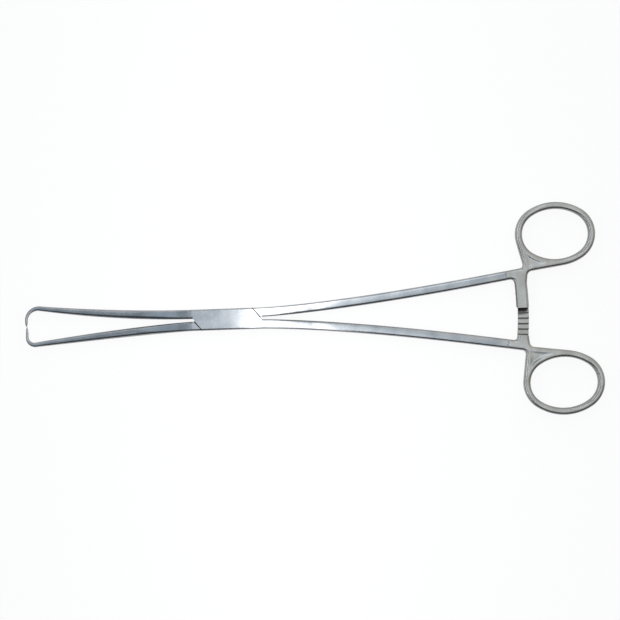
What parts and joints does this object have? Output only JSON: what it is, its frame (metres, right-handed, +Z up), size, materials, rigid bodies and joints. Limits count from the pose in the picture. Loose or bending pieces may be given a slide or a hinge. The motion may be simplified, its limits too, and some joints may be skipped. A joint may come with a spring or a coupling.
{
  "type": "tenaculum forceps",
  "caption": "Long ratchet forceps with sharp inward-hooked points, a box lock, slim straight shanks and finger rings.",
  "frame": {"origin": "on the pin's axis, at the lock's flat underside", "axes": "+X from the lock towards the finger rings, the hooks at -X; +Y across the instrument in its plane; +Z up along the pin, away from the table it lies on"},
  "size_m": [0.25, 0.0923, 0.0063],
  "materials": {
    "half_steel": "satin polished stainless steel",
    "pin_steel": "ground flush and polished"
  },
  "bodies": {
    "box_side": {"box_half": "half_steel", "joint_pin": "pin_steel"},
    "tongue_side": {"tongue_half": "half_steel"}
  },
  "joints": [
    {"name": "lock_pivot", "type": "hinge", "parent": "box_side", "child": "tongue_side", "pos_m": [0, 0, 0.00315], "axis": [0, 0, 1], "range_deg": [-3.16, 45]}
  ]
}
